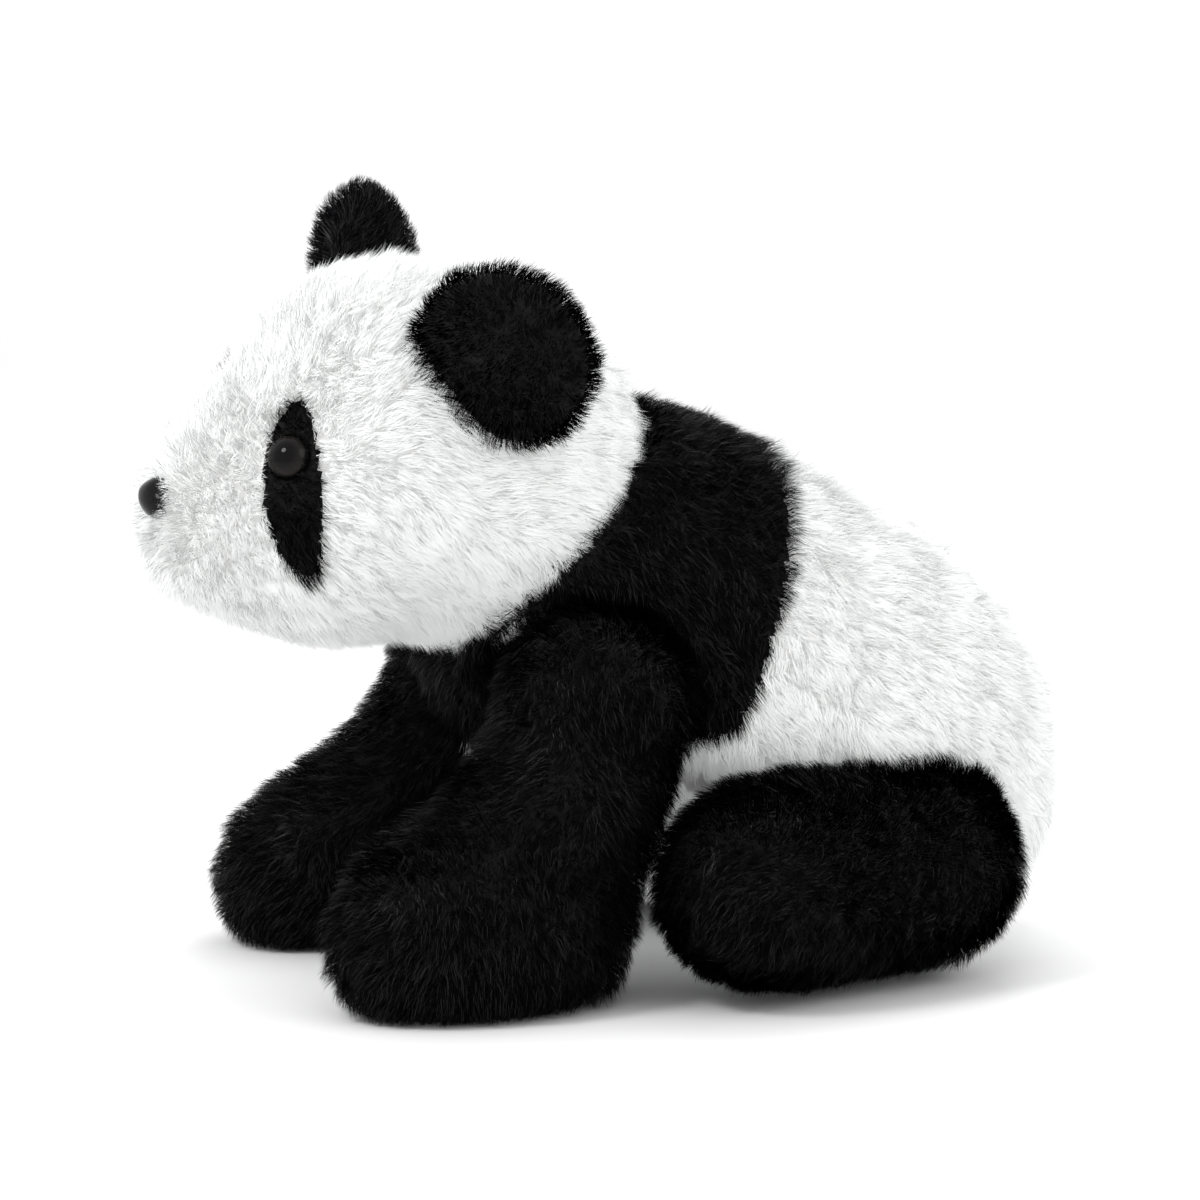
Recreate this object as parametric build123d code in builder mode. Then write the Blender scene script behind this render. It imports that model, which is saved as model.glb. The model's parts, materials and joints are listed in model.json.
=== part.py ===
from build123d import *
import os
from math import cos, hypot, pi, radians, sin

# A sitting plush panda, nose towards -Y, its own left side towards +X, standing on z = 0.
# All sizes are millimetres. The covers are the fabric backing under the pile.

# ---------- driving dimensions ----------
fabric = 2.5                 # thickness of a cover panel
stuffing_gap = 0.5           # room between a cover and what it holds
seam_gap = 0.4               # room between two panels along a seam
joint_gap = 0.6              # room between two moving bodies

head_centre = Vector(0, -48, 156)
head_radius = 54.0           # the round back of the head, which turns in the torso's neck seat
head_roll = 12.4             # the head tips to its own left
head_yaw = 3.3
neck_plug_radius = 16.0

ear_centre = (54.0, -11.0, 48.0)      # left ear, in the head's frame
ear_radius = 25.5
ear_half_depth = 10.0
ear_turn = 47.0              # how far the ear faces outwards from straight ahead
ear_droop = 12.0             # how far the ear faces downwards
ear_fabric = 1.5
ear_base_radius = 8.8        # the rounded foot of the ear, about its hinge

shoulder = Vector(48, -21, 88)
shoulder_radius = 28.0
foreleg_back_lean = 4.5      # the shoulder pocket's rear edge leans forwards this much, in degrees
sole_height = 5.0

hip = Vector(66, 76, 35.5)
thigh_radius = 30.5
hip_face = 41.0              # flat inner face of the thigh
foot_out = 15.3              # how far the foot points outwards, in degrees
foot_sole_distance = 68.0    # the sole panel caps the foot from here on

tail_root = Vector(0, 132, 27)
tail_radius = 9.5
tail_length = 16.4
tail_socket_gap = 0.9

# Torso sections from rump to neck: top point (y, z), bottom point (y, z), half width.
torso_sections = [
    ((144, 56), (143, 38), 10),
    ((143, 76), (134, 18), 34),
    ((136, 97), (115, 1), 52),
    ((118, 117.5), (88, -4), 64),
    ((92, 135.5), (60, -4), 68),
    ((61.5, 152.5), (30, 10), 66),
    ((31.5, 166), (1, 36), 60),
    ((4, 174), (-28, 58), 53),
    ((-14, 174), (-50, 82), 47),
    ((-28, 168), (-58, 100), 42),
]

# Head sections in the head's frame, crown to nose: y, middle height, half width, half height.
head_sections = [
    (22, 6, 40, 38),
    (8, 6, 47.5, 50),
    (-8, 6, 50.5, 53),
    (-27, 4.5, 52, 54.5),
    (-42, 2, 51.5, 53),
    (-56, -2.5, 47, 45.5),
    (-68, -8, 39.5, 36),
    (-78, -11.5, 32.5, 28.5),
    (-87, -14.5, 26.5, 22),
    (-93, -16.5, 19, 15.5),
    (-96, -17.5, 9, 8),
]

# Foreleg sections from shoulder to sole: x, y, z, half width, half length.
foreleg_sections = [
    (48, -21, 100, 17, 17),
    (48, -22, 86, 26, 26),
    (48.5, -27, 74, 28.5, 27.5),
    (50.5, -33, 63, 29.5, 31),
    (53, -43, 52, 29.5, 37),
    (55, -55, 40, 30, 43),
    (56, -60, 26, 30.5, 45),
    (56, -61, 12, 28.5, 42.5),
    (56, -61, 3.5, 24, 37.5),
    (56, -61, 0, 19, 32),
]

# Hind leg sections along the leg from the hip to the toes: distance, half width, half height.
hindleg_sections = [
    (2, 26, 26),
    (22, 29.5, 29.5),
    (45, 29, 29.5),
    (62, 28.5, 29),
    (76, 24.5, 25),
    (86, 16, 17),
    (90.5, 7, 8),
]

os.makedirs("parts", exist_ok=True)


def keep(name, piece):
    """Label a finished piece and write it as one STEP file."""
    piece.part.label = name
    export_step(piece.part, f"parts/{name}.step")


def mirrored(piece, about):
    with BuildPart() as other:
        add(piece.part)
        mirror(about=about, mode=Mode.REPLACE)
    return other


def keep_pair(name, piece, about):
    """Write a left piece and its mirror image on the right."""
    keep(f"{name}_left", piece)
    keep(f"{name}_right", mirrored(piece, about))


# ---------- shared shape helpers ----------
def oval_points(half_x, half_y, count=12):
    """Points around an oval, for a closed smooth curve."""
    turns = [2 * pi * i / count for i in range(count)]
    return [(half_x * cos(turn), half_y * sin(turn)) for turn in turns]


def loft_form(sections, inset):
    """A closed form through ovals, each given as (plane, half x, half y), drawn in by inset."""
    with BuildPart() as form:
        for plane, half_x, half_y in sections:
            with BuildSketch(plane):
                with BuildLine():
                    Spline(*oval_points(half_x - inset, half_y - inset), periodic=True)
                make_face()
        loft()
    return form.part


def end_shifts(count, inset):
    """How far each section moves along its own axis, so that both ends draw in as well."""
    shifts = [0.0] * count
    shifts[0], shifts[-1] = inset, -inset
    return shifts


# ---------- torso ----------
def torso_form(inset):
    sections = []
    shifts = end_shifts(len(torso_sections), inset)
    for (top, bottom, half_width), shift in zip(torso_sections, shifts):
        half_height = hypot(top[0] - bottom[0], top[1] - bottom[1]) / 2
        up_y = (top[0] - bottom[0]) / (2 * half_height)
        up_z = (top[1] - bottom[1]) / (2 * half_height)
        middle = (0, (top[0] + bottom[0]) / 2, (top[1] + bottom[1]) / 2)
        plane = Plane(origin=middle, x_dir=(1, 0, 0), z_dir=(0, -up_z, up_y))
        sections.append((plane.offset(shift), half_width, half_height))
    return loft_form(sections, inset)


pocket_reach = 90.0
pocket_radius = shoulder_radius + joint_gap
shoulder_inner = shoulder.X - pocket_radius


def shoulder_pocket(side):
    """The space in the torso that a foreleg swings in, open to the front and below."""
    lean = radians(foreleg_back_lean)
    front_rise = 14
    back = (shoulder.Y + pocket_radius * cos(lean), shoulder.Z - pocket_radius * sin(lean))
    low = (back[0] - pocket_reach * sin(lean), back[1] - pocket_reach * cos(lean))
    roof = shoulder.Z + front_rise
    with BuildPart() as pocket:
        with BuildSketch(Plane.YZ.offset(side * shoulder_inner)):
            with Locations((shoulder.Y, shoulder.Z)):
                Circle(pocket_radius)
            Polygon(back, (shoulder.Y - front_rise, roof), (-120, roof), (-120, low[1]), low, align=None)
        extrude(amount=side * pocket_reach)
    return pocket.part


def hip_pocket(side):
    """The space in the torso that a hind leg swings in."""
    radius = thigh_radius + joint_gap
    below = 10
    with BuildPart() as pocket:
        with BuildSketch(Plane.YZ.offset(side * (hip_face - joint_gap))):
            with Locations((hip.Y, hip.Z)):
                Circle(radius)
            with Locations((hip.Y, -below)):
                Rectangle(2 * pocket_reach, hip.Z + radius + below, align=(Align.MAX, Align.MIN))
                Rectangle(radius, hip.Z + below, align=(Align.MIN, Align.MIN))
        extrude(amount=side * pocket_reach)
    return pocket.part


def tail_socket():
    """The round hole in the rump that the tail's root sits in."""
    radius = tail_radius + tail_socket_gap
    with BuildPart() as socket:
        with BuildSketch(Plane(origin=tail_root - Vector(0, radius, 0), z_dir=(0, 1, 0))):
            Circle(radius)
        extrude(amount=radius + 2 * tail_length)
    return socket.part


def torso_block(inset):
    """The torso form on its flat base."""
    with BuildPart() as block:
        add(torso_form(inset))
        split(bisect_by=Plane.XY.offset(inset), keep=Keep.TOP)
    return block.part


def neck_seat():
    with BuildPart() as seat:
        with Locations(head_centre):
            Sphere(head_radius + joint_gap)
    return seat.part


neighbour_spaces = [neck_seat(), shoulder_pocket(1), shoulder_pocket(-1), hip_pocket(1), hip_pocket(-1),
                    tail_socket()]

yoke_ridge = Vector(0, 51, 158)       # the black yoke ends on a plane through this ridge point
yoke_normal = Vector(0, -1, 0.39).normalized()


def yoke_space(shift):
    """Everything in front of the yoke's rear edge and above its lower edge."""
    size = 400
    plane = Plane(origin=yoke_ridge + yoke_normal * shift, x_dir=(1, 0, 0), z_dir=yoke_normal)
    with BuildPart() as space:
        with BuildSketch(plane):
            Rectangle(size, size)
        extrude(amount=size)
        with BuildSketch(Plane.YZ):
            Polygon((-size, 69 + shift), (2, 71 + shift), (30, 83 + shift), (size, 83 + shift),
                    (size, -size), (-size, -size), align=None)
        extrude(amount=size, both=True, mode=Mode.SUBTRACT)
    return space.part


def centre_block(half_width, low, high):
    """A block about the middle plane, from its low (y, z) corner to its high one."""
    with BuildPart() as block:
        with BuildSketch(Plane.YZ):
            with Locations(((low[0] + high[0]) / 2, (low[1] + high[1]) / 2)):
                Rectangle(high[0] - low[0], high[1] - low[1])
        extrude(amount=half_width, both=True)
    return block.part


chest_low, chest_high = (-100, 60), (shoulder.Y - 12, 130)
belly_low, belly_high = (-100, -10), (126, 73)
belly_half_width = hip_face

with BuildPart() as torso_cover:
    add(torso_block(0))
    add(torso_block(fabric), mode=Mode.SUBTRACT)
    for space in neighbour_spaces:
        add(space, mode=Mode.SUBTRACT)

with BuildPart() as chest_panel:
    add(torso_cover.part)
    add(yoke_space(seam_gap / 2), mode=Mode.INTERSECT)
    add(centre_block(shoulder_inner + 1, chest_low, chest_high), mode=Mode.INTERSECT)
keep("chest_panel", chest_panel)

with BuildPart() as yoke_panel:
    add(torso_cover.part)
    add(yoke_space(seam_gap / 2), mode=Mode.INTERSECT)
    add(centre_block(shoulder_inner + 1 + seam_gap, chest_low, (chest_high[0] + seam_gap, 130)),
        mode=Mode.SUBTRACT)
    split(bisect_by=Plane.YZ.offset(seam_gap / 2), keep=Keep.TOP)
keep_pair("yoke_panel", yoke_panel, Plane.YZ)

with BuildPart() as belly_panel:
    add(torso_cover.part)
    add(yoke_space(-seam_gap / 2), mode=Mode.SUBTRACT)
    add(centre_block(belly_half_width, belly_low, belly_high), mode=Mode.INTERSECT)
keep("belly_panel", belly_panel)

with BuildPart() as back_panel:
    add(torso_cover.part)
    add(yoke_space(-seam_gap / 2), mode=Mode.SUBTRACT)
    add(centre_block(belly_half_width + seam_gap, belly_low,
                     (belly_high[0] + seam_gap, belly_high[1] + seam_gap)), mode=Mode.SUBTRACT)
    add(tail_socket(), mode=Mode.SUBTRACT)
    split(bisect_by=Plane.YZ.offset(seam_gap / 2), keep=Keep.TOP)
keep_pair("back_panel", back_panel, Plane.YZ)

# A pouch of plastic pellets low in the rump keeps the toy sitting.
pouch_centre = (0, 84, 29)
pouch_radii = (33, 30, 20)
pouch_fabric = 1.2


def pouch_form(inset):
    with BuildPart() as pouch:
        Sphere(1)
        scale(by=tuple(radius - inset for radius in pouch_radii), mode=Mode.REPLACE)
    return Pos(pouch_centre) * pouch.part


with BuildPart() as torso_stuffing:
    add(torso_block(fabric + stuffing_gap))
    for space in neighbour_spaces:
        add(space, mode=Mode.SUBTRACT)
    add(pouch_form(-stuffing_gap), mode=Mode.SUBTRACT)
keep("torso_stuffing", torso_stuffing)

with BuildPart() as pellet_pouch:
    add(pouch_form(0))
    add(pouch_form(pouch_fabric), mode=Mode.SUBTRACT)
keep("pellet_pouch", pellet_pouch)

with BuildPart() as pouch_pellets:
    add(pouch_form(pouch_fabric + stuffing_gap))
keep("pouch_pellets", pouch_pellets)


# ---------- tail ----------
def tail_form(inset):
    radius, length = tail_radius - inset, tail_length - inset
    with BuildPart() as tip:
        Sphere(radius)
        split(bisect_by=Plane.ZX, keep=Keep.TOP)
        scale(by=(1, length / radius, 1), mode=Mode.REPLACE)
    with BuildPart() as tail:
        Sphere(radius)
        split(bisect_by=Plane.ZX, keep=Keep.BOTTOM)
        add(tip.part)
    return Pos(tail_root) * tail.part


for name, half, shift in (("upper", Keep.TOP, seam_gap / 2), ("lower", Keep.BOTTOM, -seam_gap / 2)):
    with BuildPart() as tail_panel:
        add(tail_form(0))
        add(tail_form(fabric), mode=Mode.SUBTRACT)
        split(bisect_by=Plane.XY.offset(tail_root.Z + shift), keep=half)
    keep(f"tail_{name}_panel", tail_panel)

with BuildPart() as tail_stuffing:
    add(tail_form(fabric + stuffing_gap))
keep("tail_stuffing", tail_stuffing)

# ---------- head frame ----------
head_place = Pos(head_centre) * Rot(0, 0, head_yaw) * Rot(0, head_roll, 0)
head_frame = Plane(head_place)


def head_point(x, y, z):
    return head_frame.from_local_coords(Vector(x, y, z))


def head_direction(x, y, z):
    return head_point(x, y, z) - head_centre


head_right = head_direction(1, 0, 0)
head_forward = head_direction(0, -1, 0)
head_up = head_direction(0, 0, 1)
head_middle = Plane(origin=head_centre, x_dir=head_forward, z_dir=head_right)


def head_form(inset):
    sections = []
    shifts = end_shifts(len(head_sections), inset)
    for (y, z, half_width, half_height), shift in zip(head_sections, shifts):
        plane = Plane(origin=head_point(0, y, z), x_dir=head_right, z_dir=head_forward)
        sections.append((plane.offset(shift), half_width, half_height))
    with BuildPart() as head:
        add(loft_form(sections, inset))
        with Locations(head_centre):
            Sphere(head_radius - inset)
    return head.part


def head_block(low, high):
    """A box in the head's frame, from its low corner to its high corner."""
    with BuildPart(head_frame) as block:
        with Locations(tuple((a + b) / 2 for a, b in zip(low, high))):
            Box(*(b - a for a, b in zip(low, high)))
    return block.part


head_outer = head_form(0)


def surface_seat(x, z):
    """The plane that touches the face where a line straight ahead leaves the head."""
    line = Axis(head_point(x, 0, z), head_forward)
    point, normal = head_outer.find_intersection_points(line)[-1]
    if normal.dot(line.direction) < 0:
        normal = -normal
    return Plane(origin=point, x_dir=head_up.cross(normal), z_dir=normal)


# ---------- eyes, nose and their washers ----------
eye_seat = surface_seat(33.2, 13.0)
eye_radius = 7.0
eye_height = 5.0
stem_radius = 1.6
stem_length = 9.0
stem_gap = 0.2
washer_radius = 6.0
washer_thickness = 1.2
washer_depth = 4.0           # how far under the cover's outside a washer lies
patch_half_width = 8.5
patch_half_height = 24.5
patch_shift = (2.5, -7.0)    # the patch's middle, seen from the eye along the face
patch_lean = 15.0            # the patch's foot leans outwards, in degrees

nose_seat = surface_seat(0, -7.5)
nose_half_width = 10.0
nose_half_height = 6.5
nose_depth = 3.2


def washer_room(seat):
    """The hollow in the stuffing behind an eye or the nose."""
    with BuildPart() as room:
        with BuildSketch(seat.offset(-fabric / 2)):
            Circle(washer_radius + stuffing_gap)
        extrude(amount=-stem_length)
    return room.part


def stem_hole(seat):
    with BuildPart() as hole:
        with BuildSketch(seat):
            Circle(stem_radius + stem_gap)
        extrude(amount=2 * fabric, both=True)
    return hole.part


def washer(seat):
    with BuildPart() as ring:
        with BuildSketch(seat.offset(-washer_depth)):
            Circle(washer_radius)
            Circle(stem_radius + stem_gap, mode=Mode.SUBTRACT)
        extrude(amount=-washer_thickness)
    return ring


def stem(seat):
    with BuildPart() as rod:
        with BuildSketch(seat.offset(joint_gap)):
            Circle(stem_radius)
        extrude(amount=-stem_length)
    return rod.part


def eye_patch_prism(grow):
    with BuildPart() as prism:
        with BuildSketch(eye_seat):
            with Locations(patch_shift):
                Ellipse(patch_half_width + grow, patch_half_height + grow, rotation=patch_lean)
        extrude(amount=25, both=True)
    return prism.part


eye_back = eye_seat.offset(joint_gap)
eye_ball = (eye_radius ** 2 + eye_height ** 2) / (2 * eye_height)
with BuildPart() as eye_dome:
    with Locations((0, 0, eye_height - eye_ball)):
        Sphere(eye_ball)
    split(bisect_by=Plane.XY, keep=Keep.TOP)
with BuildPart() as eye:
    add(eye_back.location * eye_dome.part)
    add(stem(eye_seat))
keep_pair("eye", eye, head_middle)
keep_pair("eye_washer", washer(eye_seat), head_middle)

with BuildPart() as nose:
    with BuildSketch(nose_seat.offset(joint_gap)):
        Ellipse(nose_half_width, nose_half_height)
    extrude(amount=nose_depth)
    front = nose.faces().sort_by(Axis(nose_seat.origin, nose_seat.z_dir))[-1]
    fillet(front.edges(), radius=0.8 * nose_depth)
    add(stem(nose_seat))
keep("nose", nose)
keep("nose_washer", washer(nose_seat))


# ---------- head pieces ----------
def neck_opening(radius):
    """The round opening under the head that the neck plug fills."""
    with BuildPart(head_frame) as opening:
        Cylinder(radius, 2 * head_radius, align=(Align.CENTER, Align.CENTER, Align.MAX))
    return opening.part


with BuildPart() as neck_plug:
    add(neck_opening(neck_plug_radius))
    with Locations(head_centre):
        Sphere(head_radius, mode=Mode.INTERSECT)
keep("neck_plug", neck_plug)


def face_holes(make_hole):
    """One hole for each eye and one for the nose."""
    eye_hole = make_hole(eye_seat)
    return [eye_hole, mirror(eye_hole, about=head_middle), make_hole(nose_seat)]


with BuildPart() as head_cover:
    add(head_outer)
    add(head_form(fabric), mode=Mode.SUBTRACT)
    add(neck_opening(neck_plug_radius + joint_gap), mode=Mode.SUBTRACT)
    for hole in face_holes(stem_hole):
        add(hole, mode=Mode.SUBTRACT)

gusset_low, gusset_high = (-20, -120, -1), (20, 80, 80)
chin_low, chin_high = (-23, -120, -80), (23, -19, -27)


def grown(low, high):
    return tuple(value - seam_gap for value in low), tuple(value + seam_gap for value in high)


with BuildPart() as head_gusset:
    add(head_cover.part)
    add(head_block(gusset_low, gusset_high), mode=Mode.INTERSECT)
keep("head_gusset", head_gusset)

with BuildPart() as chin_panel:
    add(head_cover.part)
    add(head_block(chin_low, chin_high), mode=Mode.INTERSECT)
keep("chin_panel", chin_panel)

with BuildPart() as head_half:
    add(head_cover.part)
    add(head_block(*grown(gusset_low, gusset_high)), mode=Mode.SUBTRACT)
    add(head_block(*grown(chin_low, chin_high)), mode=Mode.SUBTRACT)
    add(head_block((seam_gap / 2, -150, -100), (150, 100, 100)), mode=Mode.INTERSECT)

with BuildPart() as eye_patch:
    add(head_half.part)
    add(eye_patch_prism(0), mode=Mode.INTERSECT)
keep_pair("eye_patch", eye_patch, head_middle)

with BuildPart() as head_side_panel:
    add(head_half.part)
    add(eye_patch_prism(seam_gap), mode=Mode.SUBTRACT)
keep_pair("head_side_panel", head_side_panel, head_middle)

with BuildPart() as head_stuffing:
    add(head_form(fabric + stuffing_gap))
    add(neck_opening(neck_plug_radius + joint_gap), mode=Mode.SUBTRACT)
    for hole in face_holes(washer_room):
        add(hole, mode=Mode.SUBTRACT)
keep("head_stuffing", head_stuffing)

# ---------- ears ----------
turn, droop = radians(ear_turn), radians(ear_droop)
ear_facing = head_direction(sin(turn) * cos(droop), -cos(turn) * cos(droop), -sin(droop))
ear_middle = head_point(*ear_centre)
ear_hinge = (ear_middle - head_centre).cross(ear_facing).normalized()
# The ear's own plane: z faces out of the ear's front, y runs from the head to the ear's tip.
ear_plane = Plane(origin=ear_middle, x_dir=ear_hinge, z_dir=ear_facing)


def hinge_line(depth):
    """The part of the ear's hinge line inside the ear, this far below the ear's middle."""
    middle = ear_plane.origin - ear_plane.y_dir * depth
    reach = ear_hinge * 0.6 * ear_radius
    return Edge.make_line(middle - reach, middle + reach)


hinge_depth = 0.0
while head_outer.distance_to(hinge_line(hinge_depth)) > ear_base_radius + joint_gap:
    hinge_depth += 0.2


def ear_form(inset):
    radius, half_depth = ear_radius - inset, ear_half_depth - inset
    with BuildPart() as disc:
        Sphere(radius)
        scale(by=(1, 1, half_depth / radius), mode=Mode.REPLACE)
    with BuildPart() as ear:
        with Locations((0, -hinge_depth, 0)):
            Box(3 * ear_radius, 3 * ear_radius, ear_radius, align=(Align.CENTER, Align.MIN, Align.CENTER))
            Cylinder(ear_base_radius - inset, 3 * ear_radius, rotation=(0, 90, 0))
        add(disc.part, mode=Mode.INTERSECT)
    return ear_plane.location * ear.part


for face, half, shift in (("front", Keep.TOP, seam_gap / 2), ("back", Keep.BOTTOM, -seam_gap / 2)):
    with BuildPart() as ear_panel:
        add(ear_form(0))
        add(ear_form(ear_fabric), mode=Mode.SUBTRACT)
        split(bisect_by=ear_plane.offset(shift), keep=half)
    keep_pair(f"ear_{face}", ear_panel, head_middle)

with BuildPart() as ear_stuffing:
    add(ear_form(ear_fabric + stuffing_gap))
keep_pair("ear_stuffing", ear_stuffing, head_middle)


# ---------- limbs ----------
def limb_pieces(name, forms, sole_plane, seam_plane):
    """Write one pair of limbs: a sole, an outer and an inner panel, and the stuffing."""
    outer, inner, core = forms
    with BuildPart() as cover:
        add(outer)
        add(inner, mode=Mode.SUBTRACT)
    with BuildPart() as sole:
        add(cover.part)
        split(bisect_by=sole_plane.offset(-seam_gap / 2), keep=Keep.BOTTOM)
    keep_pair(f"{name}_sole", sole, Plane.YZ)
    for place, half, shift in (("outer", Keep.TOP, seam_gap / 2), ("inner", Keep.BOTTOM, -seam_gap / 2)):
        with BuildPart() as panel:
            add(cover.part)
            split(bisect_by=sole_plane.offset(seam_gap / 2), keep=Keep.TOP)
            split(bisect_by=seam_plane.offset(shift), keep=half)
        keep_pair(f"{name}_{place}", panel, Plane.YZ)
    with BuildPart() as stuffing:
        add(core)
    keep_pair(f"{name}_stuffing", stuffing, Plane.YZ)


def foreleg_form(inset):
    sections = []
    shifts = [0.0] * len(foreleg_sections)
    shifts[-1] = inset
    for (x, y, z, half_x, half_y), shift in zip(foreleg_sections, shifts):
        sections.append((Plane((x, y, z + shift)), half_x, half_y))
    with BuildPart() as leg:
        add(loft_form(sections, inset))
        with Locations(shoulder):
            Sphere(shoulder_radius - inset)
    return leg.part


leg_top = Vector(foreleg_sections[0][:3])
leg_sole = Vector(foreleg_sections[-1][:3])
foreleg_seam = Plane(origin=leg_top, x_dir=(0, 1, 0), z_dir=(leg_sole - leg_top).cross(Vector(0, 1, 0)))
limb_pieces("foreleg", [foreleg_form(inset) for inset in (0, fabric, fabric + stuffing_gap)],
            Plane.XY.offset(sole_height), foreleg_seam)

foot_turn = radians(foot_out)
leg_along = Vector(sin(foot_turn), -cos(foot_turn), 0)
leg_across = Vector(cos(foot_turn), sin(foot_turn), 0)


def hindleg_form(inset):
    sections = []
    shifts = end_shifts(len(hindleg_sections), inset)
    for (distance, half_x, half_z), shift in zip(hindleg_sections, shifts):
        plane = Plane(origin=hip + leg_along * distance, x_dir=leg_across, z_dir=leg_along)
        sections.append((plane.offset(shift), half_x, half_z))
    with BuildPart() as leg:
        add(loft_form(sections, inset))
        with Locations(hip):
            Sphere(thigh_radius - inset)
        split(bisect_by=Plane.YZ.offset(hip_face + inset), keep=Keep.TOP)
    return leg.part


hindleg_sole = Plane(origin=hip + leg_along * foot_sole_distance, x_dir=leg_across, z_dir=-leg_along)
hindleg_seam = Plane(origin=hip, x_dir=leg_along, z_dir=leg_across)
limb_pieces("hindleg", [hindleg_form(inset) for inset in (0, fabric, fabric + stuffing_gap)],
            hindleg_sole, hindleg_seam)
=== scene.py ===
import json
from math import cos, radians, sin

import bmesh
import bpy
import numpy as np
from mathutils import Matrix, Vector
from mathutils.bvhtree import BVHTree
from mathutils.kdtree import KDTree


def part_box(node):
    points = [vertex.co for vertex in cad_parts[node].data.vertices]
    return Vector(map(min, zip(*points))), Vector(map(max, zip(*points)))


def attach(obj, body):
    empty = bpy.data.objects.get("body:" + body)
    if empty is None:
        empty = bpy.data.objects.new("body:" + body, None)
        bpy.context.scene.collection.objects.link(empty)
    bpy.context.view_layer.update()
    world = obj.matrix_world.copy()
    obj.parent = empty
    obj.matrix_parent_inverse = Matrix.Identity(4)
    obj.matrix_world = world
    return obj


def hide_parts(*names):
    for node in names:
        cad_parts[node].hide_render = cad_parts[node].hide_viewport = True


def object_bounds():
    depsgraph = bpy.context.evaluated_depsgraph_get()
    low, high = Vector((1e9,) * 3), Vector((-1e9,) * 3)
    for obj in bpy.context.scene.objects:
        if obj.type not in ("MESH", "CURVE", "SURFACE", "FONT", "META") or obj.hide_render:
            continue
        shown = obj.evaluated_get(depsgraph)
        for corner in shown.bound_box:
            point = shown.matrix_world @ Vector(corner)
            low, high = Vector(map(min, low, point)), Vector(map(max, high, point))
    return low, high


# A sitting plush panda: each body gets a stuffed skin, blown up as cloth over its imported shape,
# and each fabric panel grows its own pile of curved, tapered fibres from that skin.
# All sizes are metres.

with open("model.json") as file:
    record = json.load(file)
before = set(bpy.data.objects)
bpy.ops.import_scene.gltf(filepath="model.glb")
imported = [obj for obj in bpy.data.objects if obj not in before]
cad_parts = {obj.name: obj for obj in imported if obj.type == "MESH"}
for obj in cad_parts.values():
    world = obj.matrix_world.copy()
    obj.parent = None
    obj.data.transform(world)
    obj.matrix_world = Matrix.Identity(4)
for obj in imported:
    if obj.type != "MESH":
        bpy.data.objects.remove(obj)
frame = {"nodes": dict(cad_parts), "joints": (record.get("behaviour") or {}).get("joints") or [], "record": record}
cad_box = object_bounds()
nodes = frame["nodes"]
bodies = frame["record"]["behaviour"]["bodies"]

MM = 0.001
SEED = 11

# ---------- what each body is made of ----------
HARD = ("eye_left", "eye_right", "nose", "eye_washer_left", "eye_washer_right", "nose_washer")
BLACK = ("yoke_panel", "chest_panel", "eye_patch", "ear_", "foreleg_", "hindleg_")


def is_cover(name):
    return name not in HARD and not any(word in name for word in ("stuffing", "pouch", "neck_plug"))


def is_black(name):
    return name.startswith(BLACK)


# ---------- materials ----------
def node_material(name):
    material = bpy.data.materials.new(name)
    material.use_nodes = True
    tree = material.node_tree
    return material, tree, tree.nodes["Principled BSDF"]


def backing_material(name, low, high, scale, bump):
    """Knitted backing under the pile: mottled colour and a fine uneven surface."""
    material, tree, shader = node_material(name)
    coordinates = tree.nodes.new("ShaderNodeTexCoord")
    noise = tree.nodes.new("ShaderNodeTexNoise")
    noise.inputs["Scale"].default_value = scale
    noise.inputs["Detail"].default_value = 6
    ramp = tree.nodes.new("ShaderNodeValToRGB")
    ramp.color_ramp.elements[0].position = 0.3
    ramp.color_ramp.elements[0].color = (*low, 1)
    ramp.color_ramp.elements[1].position = 0.7
    ramp.color_ramp.elements[1].color = (*high, 1)
    relief = tree.nodes.new("ShaderNodeBump")
    relief.inputs["Strength"].default_value = bump
    relief.inputs["Distance"].default_value = 0.5 * MM
    tree.links.new(coordinates.outputs["Object"], noise.inputs["Vector"])
    tree.links.new(noise.outputs["Fac"], ramp.inputs["Fac"])
    tree.links.new(ramp.outputs["Color"], shader.inputs["Base Color"])
    tree.links.new(noise.outputs["Fac"], relief.inputs["Height"])
    tree.links.new(relief.outputs["Normal"], shader.inputs["Normal"])
    shader.inputs["Roughness"].default_value = 0.9
    return material


def fibre_material(name, colour, roughness, specular, sheen, painted_bounce_light=0.0):
    """One shade of fibre. A pile mixes several of these from strand to strand.
    Its emission is painted bounce light, for the light that pale fibres pass on to each other."""
    material, tree, shader = node_material(name)
    shader.inputs["Emission Color"].default_value = (*colour, 1)
    shader.inputs["Emission Strength"].default_value = painted_bounce_light
    shader.inputs["Base Color"].default_value = (*colour, 1)
    shader.inputs["Roughness"].default_value = roughness
    shader.inputs["Specular IOR Level"].default_value = specular
    shader.inputs["Sheen Weight"].default_value = sheen
    shader.inputs["Sheen Roughness"].default_value = 0.4
    return material


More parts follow.
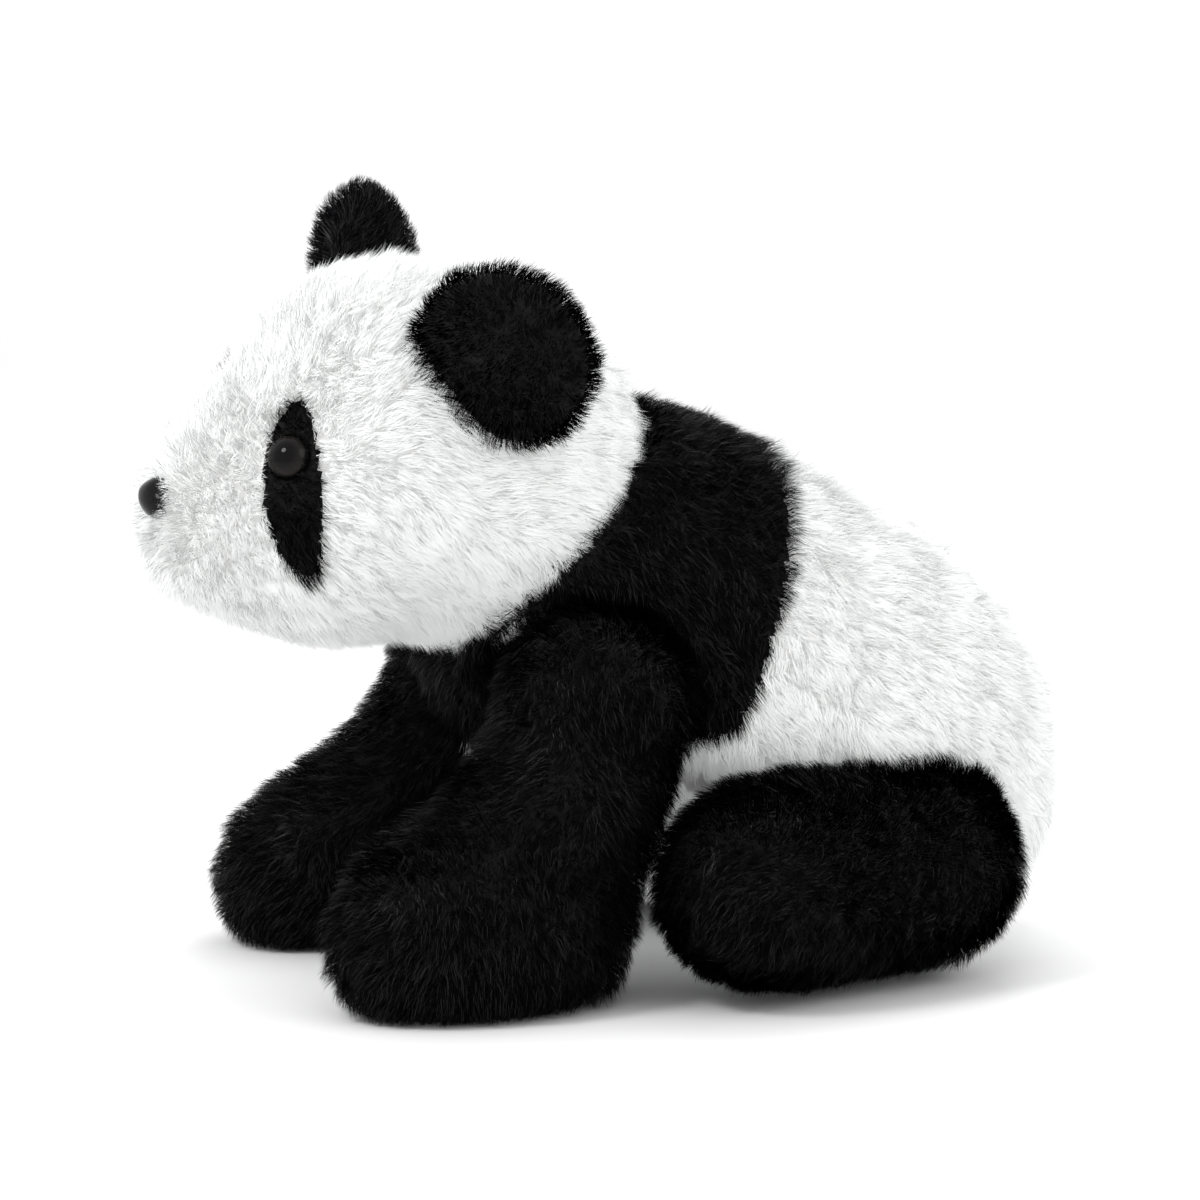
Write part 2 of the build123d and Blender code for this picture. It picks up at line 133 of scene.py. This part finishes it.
white_backing = backing_material("white_backing", (0.80, 0.80, 0.79), (0.90, 0.90, 0.89), 420, 0.3)
black_backing = backing_material("black_backing", (0.001, 0.001, 0.001), (0.003, 0.003, 0.003), 420, 0.3)
# Painted bounce light: the pale fibres emit a little light in their own colour, which lifts the shade between
# them.
WHITE_PAINTED_BOUNCE_LIGHT = 0.20
WHITE_FIBRES = [
    fibre_material("white_fibre_bright", (0.84, 0.85, 0.85), 0.60, 0.10, 0.05, WHITE_PAINTED_BOUNCE_LIGHT),
    fibre_material("white_fibre_plain", (0.83, 0.84, 0.835), 0.65, 0.10, 0.05, WHITE_PAINTED_BOUNCE_LIGHT),
    fibre_material("white_fibre_warm", (0.82, 0.815, 0.805), 0.65, 0.10, 0.05, WHITE_PAINTED_BOUNCE_LIGHT),
    fibre_material("white_fibre_grey", (0.80, 0.81, 0.815), 0.65, 0.10, 0.05, WHITE_PAINTED_BOUNCE_LIGHT),
]
WHITE_SHARES = (0.45, 0.33, 0.12, 0.10)
# The grey and brown shades, spread at random, are partly the pile's own tone and partly painted glints.
BLACK_FIBRES = [
    fibre_material("black_fibre_deep", (0.0012, 0.0012, 0.0015), 0.55, 0.01, 0.0),
    fibre_material("black_fibre_plain", (0.0022, 0.0022, 0.0027), 0.45, 0.03, 0.0),
    fibre_material("black_fibre_grey", (0.008, 0.008, 0.009), 0.35, 0.18, 0.0),
    fibre_material("black_fibre_brown", (0.014, 0.011, 0.010), 0.40, 0.14, 0.0),
]
BLACK_SHARES = (0.50, 0.33, 0.10, 0.07)


# ---------- meshes as arrays ----------
def mesh_arrays(mesh):
    """Vertices, their normals, and triangles."""
    mesh.calc_loop_triangles()
    points = np.empty(len(mesh.vertices) * 3)
    mesh.vertices.foreach_get("co", points)
    normals = np.empty(len(mesh.vertices) * 3)
    mesh.vertices.foreach_get("normal", normals)
    triangles = np.empty(len(mesh.loop_triangles) * 3, dtype=np.int64)
    mesh.loop_triangles.foreach_get("vertices", triangles)
    return points.reshape(-1, 3), normals.reshape(-1, 3), triangles.reshape(-1, 3)


def node_arrays(names):
    """The points and triangles of these CAD nodes together, and the node that each triangle belongs to."""
    points, triangles, owners = [], [], []
    for name in names:
        own_points, _, own_triangles = mesh_arrays(nodes[name].data)
        triangles.extend((own_triangles + len(points)).tolist())
        points.extend(own_points.tolist())
        owners.extend([name] * len(own_triangles))
    return points, triangles, owners


def tree_of(names):
    """A search tree over these CAD nodes, and the node that each of its triangles belongs to."""
    points, triangles, owners = node_arrays(names)
    return BVHTree.FromPolygons(points, triangles), owners


def unit(vectors):
    return vectors / np.maximum(np.linalg.norm(vectors, axis=-1, keepdims=True), 1e-12)


def tangent(vectors, normals):
    return vectors - normals * np.sum(vectors * normals, axis=1, keepdims=True)


def ripple(points, wavelength, seed):
    """Smooth noise between about -1 and 1 over the points."""
    rng = np.random.default_rng(seed)
    waves = unit(rng.normal(size=(7, 3))) * rng.uniform(0.7, 1.4, (7, 1)) * 2 * np.pi / wavelength
    return np.sin(points @ waves.T + rng.uniform(0, 2 * np.pi, 7)).sum(axis=1) / 2.6


# ---------- stuffed skins ----------
REMESH = 4.5 * MM
FINE_REMESH = 2.5 * MM       # for the ears, the tail and the neck
SMOOTHING_STEPS = 4
CLOTH_FRAMES = 20
CLOTH_QUALITY = 5
CLOTH_PRESSURE = 4.0
SWELL_CAP = 5 * MM
START_INSET = 1.2 * MM
FLOOR_GAP = 0.5 * MM


def evaluated_mesh(piece):
    graph = bpy.context.evaluated_depsgraph_get()
    return bpy.data.meshes.new_from_object(piece.evaluated_get(graph))


def keep_largest_shell(mesh):
    """Drop the walls of closed hollows, which nothing shows."""
    work = bmesh.new()
    work.from_mesh(mesh)
    left = set(work.verts)
    shells = []
    while left:
        seed = left.pop()
        shell, front = {seed}, [seed]
        while front:
            for edge in front.pop().link_edges:
                for vertex in edge.verts:
                    if vertex in left:
                        left.remove(vertex)
                        shell.add(vertex)
                        front.append(vertex)
        shells.append(shell)
    largest = max(shells, key=len)
    bmesh.ops.delete(work, geom=[v for v in work.verts if v not in largest], context="VERTS")
    work.to_mesh(mesh)
    work.free()


EAR_GROWTH = 1.07             # a blown-up ear is rounder than its packed outline


def ear_disc(body, members):
    """The whole puffed disc of an ear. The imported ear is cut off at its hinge, inside the head's pile."""
    joint = next(joint for joint in frame["joints"] if joint["child"] == body)
    hinge, line = Vector(joint["pos_m"]), Vector(joint["axis"]).normalized()
    points, _, _ = node_arrays(members)
    offsets = [Vector(point) - hinge for point in points]
    radius = max(abs(offset.dot(line)) for offset in offsets)
    flat = [offset - line * offset.dot(line) for offset in offsets]
    tip = max(flat, key=lambda offset: offset.length)
    rise = tip.normalized()
    facing = line.cross(rise)
    half_depth = max(abs(offset.dot(facing)) for offset in flat)
    radius *= EAR_GROWTH
    middle = hinge + rise * (tip.length - radius)
    turn = Matrix((line * radius, rise * radius, facing * half_depth)).transposed().to_4x4()
    work = bmesh.new()
    bmesh.ops.create_icosphere(work, subdivisions=4, radius=1.0, matrix=Matrix.Translation(middle) @ turn)
    disc = bpy.data.meshes.new("ear_disc")
    work.to_mesh(disc)
    work.free()
    points, _, triangles = mesh_arrays(disc)
    return points.tolist(), triangles.tolist()


def make_skin(name, points, triangles, voxel):
    """One closed, stuffed skin around these closed shapes."""
    mesh = bpy.data.meshes.new(name)
    mesh.from_pydata(points, [], triangles)
    piece = bpy.data.objects.new(name, mesh)
    bpy.context.scene.collection.objects.link(piece)
    remesh = piece.modifiers.new("remesh", "REMESH")
    remesh.mode = "VOXEL"
    remesh.voxel_size = voxel
    smooth = piece.modifiers.new("smooth", "SMOOTH")
    smooth.iterations = SMOOTHING_STEPS
    mesh = evaluated_mesh(piece)
    piece.modifiers.clear()
    keep_largest_shell(mesh)
    piece.data = mesh
    blow_up(piece)
    subdivision = piece.modifiers.new("subdivision", "SUBSURF")
    subdivision.levels = subdivision.render_levels = 1
    mesh = evaluated_mesh(piece)
    piece.modifiers.clear()
    points, _, _ = mesh_arrays(mesh)
    points[:, 2] = np.maximum(points[:, 2], FLOOR_GAP)
    mesh.vertices.foreach_set("co", points.ravel())
    mesh.shade_smooth()
    mesh.update()
    piece.data = mesh
    return piece


def blow_up(piece):
    """Swell the skin as cloth under the pressure of its stuffing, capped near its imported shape."""
    start, normals, _ = mesh_arrays(piece.data)
    piece.data.vertices.foreach_set("co", (start - normals * START_INSET).ravel())
    piece.data.update()
    cloth = piece.modifiers.new("cloth", "CLOTH")
    cloth.settings.quality = CLOTH_QUALITY
    cloth.settings.use_pressure = True
    cloth.settings.uniform_pressure_force = CLOTH_PRESSURE
    cloth.settings.effector_weights.gravity = 0
    cloth.point_cache.frame_start = 1
    cloth.point_cache.frame_end = CLOTH_FRAMES
    for number in range(1, CLOTH_FRAMES + 1):
        bpy.context.scene.frame_set(number)
    swollen, _, _ = mesh_arrays(evaluated_mesh(piece))
    piece.modifiers.clear()
    bpy.context.scene.frame_set(1)
    move = swollen - start
    distance = np.linalg.norm(move, axis=1, keepdims=True)
    move *= np.minimum(1, SWELL_CAP / np.maximum(distance, 1e-9))
    piece.data.vertices.foreach_set("co", (start + move).ravel())
    piece.data.update()


# ---------- pile ----------
STRANDS_PER_MM2 = 2.9
MOST_STRANDS = 65000          # three triangles each, in one piece
FIBRE_HALF_WIDTH = 0.115 * MM
CLUMPS_PER_MM2 = 0.06
NO_LIMIT = 1.0                # farther than any point of the toy, in metres
# On the torso, a root farther than this from every panel lies over a socket, and grows nothing.
COVER_REACH = {"torso": 6 * MM}
HIDDEN_DEPTH = 2.5 * MM       # no fibre grows where the place this far above its root is in another skin
HARD_CLEARANCE = 1.6 * MM     # no fibre grows this near to an eye or the nose
HARD_NEIGHBOURHOOD = 9 * MM   # the pile shortens from here towards an eye or the nose
FLATTENED_HEIGHT = 7 * MM     # underneath, the pile shortens below this height
SWIRL_WAVE, DEPTH_WAVE, LENGTH_WAVE = 34 * MM, 21 * MM, 15 * MM
ROOT_DEPTH = 0.4 * MM         # the roots start this far under the skin
MIDDLE_WIDTH = 0.85           # a fibre's width at its middle, as a share of its width at the root
TUFT_PULL = (0.15, 0.62)      # how far tips are drawn to their tuft's leader, from fibre to fibre
MIDDLE_PULL = 0.3             # the middle's share of that pull


def strand_mesh(name, root, middle, tip, across, shade_normal, half_width, shade, materials):
    """Curved blades that taper to a point: two points at the root, two at the middle, one at the tip."""
    count = len(root)
    side = across * half_width[:, None]
    waist = side * MIDDLE_WIDTH
    points = np.stack([root - side, root + side, middle - waist, middle + waist, tip], axis=1)
    points[:, :, 2] = np.maximum(points[:, :, 2], FLOOR_GAP)
    mesh = bpy.data.meshes.new(name)
    mesh.vertices.add(count * 5)
    mesh.vertices.foreach_set("co", points.ravel())
    base = np.arange(count)[:, None] * 5
    corners = (base + np.array([0, 1, 3, 2, 2, 3, 4])).ravel()
    mesh.loops.add(count * 7)
    mesh.loops.foreach_set("vertex_index", corners.astype(np.int32))
    starts = (np.arange(count)[:, None] * 7 + np.array([0, 4])).ravel()
    mesh.polygons.add(count * 2)
    mesh.polygons.foreach_set("loop_start", starts.astype(np.int32))
    mesh.polygons.foreach_set("material_index", np.repeat(shade, 2).astype(np.int32))
    mesh.update(calc_edges=True)
    mesh.shade_smooth()
    mesh.normals_split_custom_set_from_vertices(np.repeat(shade_normal, 5, axis=0))
    for material in materials:
        mesh.materials.append(material)
    piece = bpy.data.objects.new(name, mesh)
    bpy.context.scene.collection.objects.link(piece)
    return piece


def scatter(mesh, rng):
    """Even random roots over a mesh: points and smooth normals."""
    points, normals, triangles = mesh_arrays(mesh)
    corner = points[triangles]
    area = np.linalg.norm(np.cross(corner[:, 1] - corner[:, 0], corner[:, 2] - corner[:, 0]), axis=1) / 2
    count = int(area.sum() / MM ** 2 * STRANDS_PER_MM2)
    chosen = rng.choice(len(area), count, p=area / area.sum())
    u, v = rng.random(count), rng.random(count)
    over = u + v > 1
    u[over], v[over] = 1 - u[over], 1 - v[over]
    weights = np.stack([1 - u - v, u, v], axis=1)[:, :, None]
    root = (corner[chosen] * weights).sum(axis=1)
    normal = unit((normals[triangles[chosen]] * weights).sum(axis=1))
    return root, normal


def inside(tree, point, direction):
    """Whether a point lies in a closed skin: from inside, the first wall ahead faces away."""
    found, normal, _, _ = tree.ray_cast(point, direction)
    return found is not None and normal.dot(direction) > 0


def gap_to(tree, points, limit):
    """Each point's distance to the tree's surface, or the limit where it is farther."""
    found = (tree.find_nearest(Vector(point), limit)[3] for point in points)
    return np.array([limit if distance is None else distance for distance in found])


def grow_pile(body, skin, neighbours, flow, length, lean, seed):
    """Grow each panel's pile from the body's skin. The roots belong to the panel nearest to them."""
    rng = np.random.default_rng(seed)
    root, normal = scatter(skin.data, rng)
    tree, owners = tree_of([name for name in bodies[body] if is_cover(name)])
    found = [tree.find_nearest(Vector(point)) for point in root]
    owner = np.array([owners[index] for _, _, index, _ in found])
    showing = np.array([distance for _, _, _, distance in found]) < COVER_REACH.get(body, NO_LIMIT)
    for other in neighbours:
        raised = root + normal * HIDDEN_DEPTH
        hidden = [inside(other, Vector(point), Vector(ahead)) for point, ahead in zip(raised, normal)]
        showing &= ~np.array(hidden)
    root, normal, owner = root[showing], normal[showing], owner[showing]
    reach = length(root)
    hard = [name for name in bodies[body] if name in ("eye_left", "eye_right", "nose")]
    if hard:
        hard_tree, _ = tree_of(hard)
        gap = gap_to(hard_tree, root, HARD_NEIGHBOURHOOD)
        clear = gap > HARD_CLEARANCE
        root, normal, owner, reach, gap = root[clear], normal[clear], owner[clear], reach[clear], gap[clear]
        reach = reach * (0.55 + 0.45 * np.clip(gap / HARD_NEIGHBOURHOOD, 0, 1))
    underneath = normal[:, 2] < -0.5
    reach = reach * np.where(underneath, np.clip(root[:, 2] / FLATTENED_HEIGHT, 0.3, 1), 1)

    count = len(root)
    along = unit(tangent(flow(root, normal), normal))
    turn = tangent(np.cross(normal, along), normal)
    swirl = ripple(root, SWIRL_WAVE, seed + 1)[:, None]
    along = unit(along + 0.4 * swirl * turn)
    depth = (lean(root) * (1 + 0.15 * ripple(root, DEPTH_WAVE, seed + 2)))[:, None]
    jitter = tangent(rng.normal(size=(count, 3)), normal)
    uneven = reach * (1 + 0.12 * ripple(root, LENGTH_WAVE, seed + 3))
    reach = (uneven * rng.uniform(0.72, 1.12, count))[:, None]

    # The lower half of a fibre stands up from the skin, and the upper half leans along the comb.
    first = unit(normal + 0.45 * depth * along + 0.20 * jitter)
    second = unit(0.55 * normal + depth * along + 0.24 * jitter)
    middle = root + 0.5 * reach * first
    tip = middle + 0.5 * reach * second

    # Fibres gather into small tufts: the upper part of each one leans to its tuft's leader.
    leaders = rng.choice(count, max(1, int(count / STRANDS_PER_MM2 * CLUMPS_PER_MM2)), replace=False)
    finder = KDTree(len(leaders))
    for place, leader in enumerate(leaders):
        finder.insert(root[leader], place)
    finder.balance()
    mine = leaders[[finder.find(point)[1] for point in root]]
    pull = rng.uniform(*TUFT_PULL, count)[:, None]
    tip = tip * (1 - pull) + tip[mine] * pull
    middle = middle * (1 - MIDDLE_PULL * pull) + middle[mine] * MIDDLE_PULL * pull

    direction = unit(tip - root)
    across = unit(np.cross(direction, normal) + 0.35 * unit(rng.normal(size=(count, 3))))
    across = unit(across - direction * np.sum(across * direction, axis=1, keepdims=True))
    facing = np.cross(across, direction)
    flip = np.sign(np.sum(facing * normal, axis=1, keepdims=True))
    across = across * np.where(flip == 0, 1, flip)
    facing = np.cross(across, direction)
    shade_normal = unit(normal + 0.12 * facing + 0.04 * rng.normal(size=(count, 3)))
    half_width = FIBRE_HALF_WIDTH * rng.uniform(0.7, 1.25, count)
    root = root - normal * ROOT_DEPTH

    for name in sorted(set(owner)):
        black = is_black(name)
        materials, shares = (BLACK_FIBRES, BLACK_SHARES) if black else (WHITE_FIBRES, WHITE_SHARES)
        own = np.flatnonzero(owner == name)[:MOST_STRANDS]
        shade = rng.choice(len(shares), len(own), p=shares)
        pile = strand_mesh("pile_" + name, root[own], middle[own], tip[own], across[own],
                           shade_normal[own], half_width[own], shade, materials)
        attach(pile, body)
        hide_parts(name)


def colour_skin(skin, body):
    """Give each face of the skin the backing of the panel nearest to it."""
    mesh = skin.data
    mesh.materials.append(white_backing)
    mesh.materials.append(black_backing)
    covers = [name for name in bodies[body] if is_cover(name)]
    if not covers:
        return
    tree, owners = tree_of(covers)
    for polygon in mesh.polygons:
        polygon.material_index = 1 if is_black(owners[tree.find_nearest(polygon.center)[2]]) else 0


def middle_of(name):
    low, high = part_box(name)
    return (np.array(low) + np.array(high)) / 2


def toward(direction):
    return lambda root, normal: np.tile(np.array(direction, float), (len(root), 1))


def away_from(point, direction):
    """Pile combed away from a point, and a little in one direction."""
    return lambda root, normal: unit(root - np.array(point)) + np.array(direction)


def even(value):
    return lambda root: np.full(len(root), value)


nose_middle = middle_of("nose")


def from_muzzle(root):
    """0 on the muzzle, growing to 1 on the cheeks and the crown."""
    return np.clip((np.linalg.norm(root - nose_middle, axis=1) - 15 * MM) / (40 * MM), 0, 1)


def head_length(root):
    return MM * (6.6 + 1.9 * from_muzzle(root))


def head_lean(root):
    """The pile stands out from the muzzle and lies back on the cheeks and the crown."""
    return 0.40 + 0.35 * from_muzzle(root)


skins = {}
for body, members in bodies.items():
    inner = [name for name in members if name not in HARD]
    small = body.startswith("ear") or body in ("tail", "neck")
    points, triangles = ear_disc(body, inner) if body.startswith("ear") else node_arrays(inner)[:2]
    skins[body] = make_skin("skin_" + body, points, triangles, FINE_REMESH if small else REMESH)
    colour_skin(skins[body], body)
    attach(skins[body], body)
    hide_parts(*[name for name in members if name not in HARD or "washer" in name])

skin_trees = {}
for body, skin in skins.items():
    points, _, triangles = mesh_arrays(skin.data)
    skin_trees[body] = BVHTree.FromPolygons(points.tolist(), triangles.tolist())

PILE_LENGTH, TAIL_LENGTH, EAR_LENGTH = 8.5 * MM, 7.5 * MM, 6.5 * MM
BODY_LEAN, EAR_LEAN = 0.8, 0.6
LIMBS = ("foreleg_left", "foreleg_right", "hindleg_left", "hindleg_right")
head_middle = middle_of("head_stuffing")

# For each body: how its pile is combed, its length, its lean, and the skins that can hide it.
combs = {
    "torso": (toward((0, 0.5, -1)), even(PILE_LENGTH), even(BODY_LEAN), ("head",) + LIMBS),
    "head": (away_from(nose_middle, (0, 0, -0.35)), head_length, head_lean, ("torso",)),
    "tail": (toward((0, 0.3, -1)), even(TAIL_LENGTH), even(BODY_LEAN), ("torso",)),
}
for side in ("left", "right"):
    comb = away_from(head_middle, (0, 0, 0))
    combs["ear_" + side] = (comb, even(EAR_LENGTH), even(EAR_LEAN), ("head",))
for limb, (across, along, down) in (("foreleg", (0.15, -0.35, -1)), ("hindleg", (0.35, -0.8, -0.5))):
    for side, sign in (("left", 1), ("right", -1)):
        comb = toward((sign * across, along, down))
        combs[f"{limb}_{side}"] = (comb, even(PILE_LENGTH), even(BODY_LEAN), ("torso",))
for order, (body, (flow, length, lean, hiders)) in enumerate(combs.items()):
    around = [skin_trees[other] for other in hiders]
    grow_pile(body, skins[body], around, flow, length, lean, SEED + 10 * order)


# ---------- eyes and nose ----------
def axis_of(name, washer):
    """The middle of a hard face piece's washer, the direction out of the face, and the piece's reach."""
    base = middle_of(washer)
    points, _, _ = mesh_arrays(nodes[name].data)
    gap = np.linalg.norm(points - base, axis=1)
    front = points[gap > gap.max() - 0.8 * MM].mean(axis=0)
    return Vector(base), Vector(front - base).normalized(), gap.max()


def placed(name, mesh, origin, outward, up):
    """A mesh placed with its z along outward and its y as near up as it can be."""
    side = up.cross(outward).normalized()
    rows = Matrix((side, outward.cross(side), outward)).transposed()
    piece = bpy.data.objects.new(name, mesh)
    bpy.context.scene.collection.objects.link(piece)
    mesh.transform(Matrix.Translation(origin) @ rows.to_4x4())
    return piece


def eye_material():
    """Polished black dome over a dark brown iris ring, by the distance from the pupil."""
    material, tree, shader = node_material("safety_eye")
    shader.inputs["Roughness"].default_value = 0.04
    shader.inputs["Specular IOR Level"].default_value = 0.12
    attribute = tree.nodes.new("ShaderNodeAttribute")
    attribute.attribute_name = "from_pupil"
    ramp = tree.nodes.new("ShaderNodeValToRGB")
    ramp.color_ramp.elements[0].position = 0.46
    ramp.color_ramp.elements[0].color = (0.0015, 0.0015, 0.0015, 1)
    ramp.color_ramp.elements[1].position = 0.98
    ramp.color_ramp.elements[1].color = (0.002, 0.002, 0.002, 1)
    for position, colour in ((0.60, (0.005, 0.004, 0.004)), (0.84, (0.013, 0.011, 0.010)),
                             (0.92, (0.002, 0.002, 0.002))):
        element = ramp.color_ramp.elements.new(position)
        element.color = (*colour, 1)
    tree.links.new(attribute.outputs["Fac"], ramp.inputs["Fac"])
    tree.links.new(ramp.outputs["Color"], shader.inputs["Base Color"])
    return material


def make_dome(name, radius, height, rings=24, spokes=64):
    """A closed polished dome: a ball's cap with a rolled rim and a flat back."""
    ball = (radius ** 2 + height ** 2) / (2 * height)
    work = bmesh.new()
    profile = []
    for step in range(1, rings + 1):
        r = radius * step / rings
        profile.append((r, (ball ** 2 - r ** 2) ** 0.5 - ball + height))
    profile += [(radius * 0.97, -0.5 * MM), (radius * 0.85, -0.7 * MM)]
    top = work.verts.new((0, 0, height))
    loops = []
    for r, z in profile:
        turns = [2 * np.pi * k / spokes for k in range(spokes)]
        loops.append([work.verts.new((r * cos(a), r * sin(a), z)) for a in turns])
    for k in range(spokes):
        work.faces.new((top, loops[0][k], loops[0][(k + 1) % spokes]))
    for inner, outer in zip(loops, loops[1:]):
        for k in range(spokes):
            n = (k + 1) % spokes
            work.faces.new((inner[k], outer[k], outer[n], inner[n]))
    work.faces.new(list(reversed(loops[-1])))
    mesh = bpy.data.meshes.new(name)
    work.to_mesh(mesh)
    work.free()
    mesh.shade_smooth()
    points, _, _ = mesh_arrays(mesh)
    attribute = mesh.attributes.new("from_pupil", "FLOAT", "POINT")
    attribute.data.foreach_set("value", (np.linalg.norm(points[:, :2], axis=1) / radius).astype(np.float32))
    return mesh


EYE_RADIUS, EYE_HEIGHT = 6.8 * MM, 4.9 * MM
SUNK = 1.3 * MM               # the eyes pull the cover in this far
polished_eye = eye_material()
for side in ("left", "right"):
    base, outward, reach = axis_of("eye_" + side, "eye_washer_" + side)
    mesh = make_dome("safety_eye_" + side, EYE_RADIUS, EYE_HEIGHT)
    mesh.materials.append(polished_eye)
    eye = placed("safety_eye_" + side, mesh, base + outward * (reach - EYE_HEIGHT - SUNK), outward,
                 Vector((0, 0, 1)))
    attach(eye, "head")
    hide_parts("eye_" + side)


def nose_material():
    """Moulded black plastic with a fine leathery grain."""
    material, tree, shader = node_material("moulded_nose")
    shader.inputs["Roughness"].default_value = 0.14
    shader.inputs["Specular IOR Level"].default_value = 0.09
    coordinates = tree.nodes.new("ShaderNodeTexCoord")
    grain = tree.nodes.new("ShaderNodeTexVoronoi")
    grain.inputs["Scale"].default_value = 1500
    ramp = tree.nodes.new("ShaderNodeValToRGB")
    ramp.color_ramp.elements[0].color = (0.003, 0.003, 0.003, 1)
    ramp.color_ramp.elements[1].color = (0.010, 0.009, 0.009, 1)
    relief = tree.nodes.new("ShaderNodeBump")
    relief.inputs["Strength"].default_value = 0.12
    relief.inputs["Distance"].default_value = 0.1 * MM
    tree.links.new(coordinates.outputs["Object"], grain.inputs["Vector"])
    tree.links.new(grain.outputs["Distance"], ramp.inputs["Fac"])
    tree.links.new(ramp.outputs["Color"], shader.inputs["Base Color"])
    tree.links.new(grain.outputs["Distance"], relief.inputs["Height"])
    tree.links.new(relief.outputs["Normal"], shader.inputs["Normal"])
    return material


def make_nose(name, half_width, half_height, depth, rings=14, spokes=48):
    """A rounded triangle, wide at the top, domed at the front."""
    work = bmesh.new()
    top = work.verts.new((0, 0, depth))
    loops = []
    for step in range(1, rings + 1):
        t = step / rings
        loop = []
        for k in range(spokes):
            a = 2 * np.pi * k / spokes
            narrow = 1 - 0.30 * max(0.0, -sin(a)) ** 1.5
            loop.append(work.verts.new((half_width * t * cos(a) * narrow, half_height * t * sin(a),
                                        depth * (1 - t ** 3.2) - 0.6 * MM * t)))
        loops.append(loop)
    for k in range(spokes):
        work.faces.new((top, loops[0][k], loops[0][(k + 1) % spokes]))
    for inner, outer in zip(loops, loops[1:]):
        for k in range(spokes):
            n = (k + 1) % spokes
            work.faces.new((inner[k], outer[k], outer[n], inner[n]))
    work.faces.new(list(reversed(loops[-1])))
    mesh = bpy.data.meshes.new(name)
    work.to_mesh(mesh)
    work.free()
    mesh.shade_smooth()
    return mesh


NOSE_HALF_WIDTH, NOSE_HALF_HEIGHT, NOSE_DEPTH = 9.0 * MM, 6.3 * MM, 3.8 * MM
NOSE_SUNK = 3.2 * SUNK
base, outward, reach = axis_of("nose", "nose_washer")
mesh = make_nose("moulded_nose", NOSE_HALF_WIDTH, NOSE_HALF_HEIGHT, NOSE_DEPTH)
mesh.materials.append(nose_material())
eye_line = Vector(middle_of("eye_left") - middle_of("eye_right")).normalized()
nose = placed("moulded_nose", mesh, base + outward * (reach - NOSE_DEPTH - NOSE_SUNK), outward,
              outward.cross(eye_line) * -1)
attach(nose, "head")
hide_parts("nose")


# ---------- floor, lights and camera ----------
def floor_material():
    material, tree, shader = node_material("studio_floor")
    noise = tree.nodes.new("ShaderNodeTexNoise")
    noise.inputs["Scale"].default_value = 3
    ramp = tree.nodes.new("ShaderNodeValToRGB")
    ramp.color_ramp.elements[0].color = (0.93, 0.93, 0.93, 1)
    ramp.color_ramp.elements[1].color = (0.95, 0.95, 0.95, 1)
    tree.links.new(noise.outputs["Fac"], ramp.inputs["Fac"])
    tree.links.new(ramp.outputs["Color"], shader.inputs["Base Color"])
    shader.inputs["Roughness"].default_value = 0.9
    shader.inputs["Specular IOR Level"].default_value = 0.1
    return material


floor_mesh = bpy.data.meshes.new("floor")
HALF_FLOOR = 6.0
floor_corners = [(x * HALF_FLOOR, y * HALF_FLOOR, 0) for x, y in ((-1, -1), (1, -1), (1, 1), (-1, 1))]
floor_mesh.from_pydata(floor_corners, [], [(0, 1, 2, 3)])
floor_mesh.materials.append(floor_material())
floor = bpy.data.objects.new("floor", floor_mesh)
bpy.context.scene.collection.objects.link(floor)

WORLD_STRENGTH = 1.06
world = bpy.data.worlds.new("studio")
world.use_nodes = True
world.node_tree.nodes["Background"].inputs["Color"].default_value = (1, 1, 1, 1)
world.node_tree.nodes["Background"].inputs["Strength"].default_value = WORLD_STRENGTH
bpy.context.scene.world = world
bpy.context.scene.view_settings.view_transform = "Standard"

VIEW_AZIMUTH, VIEW_ELEVATION, VIEW_DISTANCE = radians(67.5), radians(6), 1.1
target = Vector((0, 0, 0.48 * (cad_box[1][2] - cad_box[0][2])))


def from_camera(azimuth, elevation, distance):
    """A place around the toy, its azimuth measured from the camera's own."""
    turn = VIEW_AZIMUTH + radians(azimuth)
    rise = radians(elevation)
    return target + distance * Vector((sin(turn) * cos(rise), -cos(turn) * cos(rise), sin(rise)))


def soft_light(name, place, size, power):
    light = bpy.data.lights.new(name, "AREA")
    light.shape = "DISK"
    light.size = size
    light.energy = power
    lamp = bpy.data.objects.new(name, light)
    lamp.location = place
    lamp.rotation_euler = (target - place).to_track_quat("-Z", "Y").to_euler()
    bpy.context.scene.collection.objects.link(lamp)


soft_light("key", from_camera(-48, 40, 1.2), 0.36, 5)
soft_light("fill", from_camera(55, 30, 1.5), 1.0, 3)
soft_light("top", from_camera(150, 65, 1.3), 0.8, 3)

SENSOR_WIDTH, LENS, LENS_SHIFT = 36, 106.4, -0.0092
camera_data = bpy.data.cameras.new("camera")
camera_data.sensor_width = SENSOR_WIDTH
camera_data.lens = LENS
camera_data.shift_y = LENS_SHIFT
camera = bpy.data.objects.new("camera", camera_data)
back = Vector((sin(VIEW_AZIMUTH) * cos(VIEW_ELEVATION), -cos(VIEW_AZIMUTH) * cos(VIEW_ELEVATION),
               sin(VIEW_ELEVATION)))
camera.location = target + back * VIEW_DISTANCE
camera.rotation_euler = back.to_track_quat("Z", "Y").to_euler()
bpy.context.scene.collection.objects.link(camera)
bpy.context.scene.camera = camera
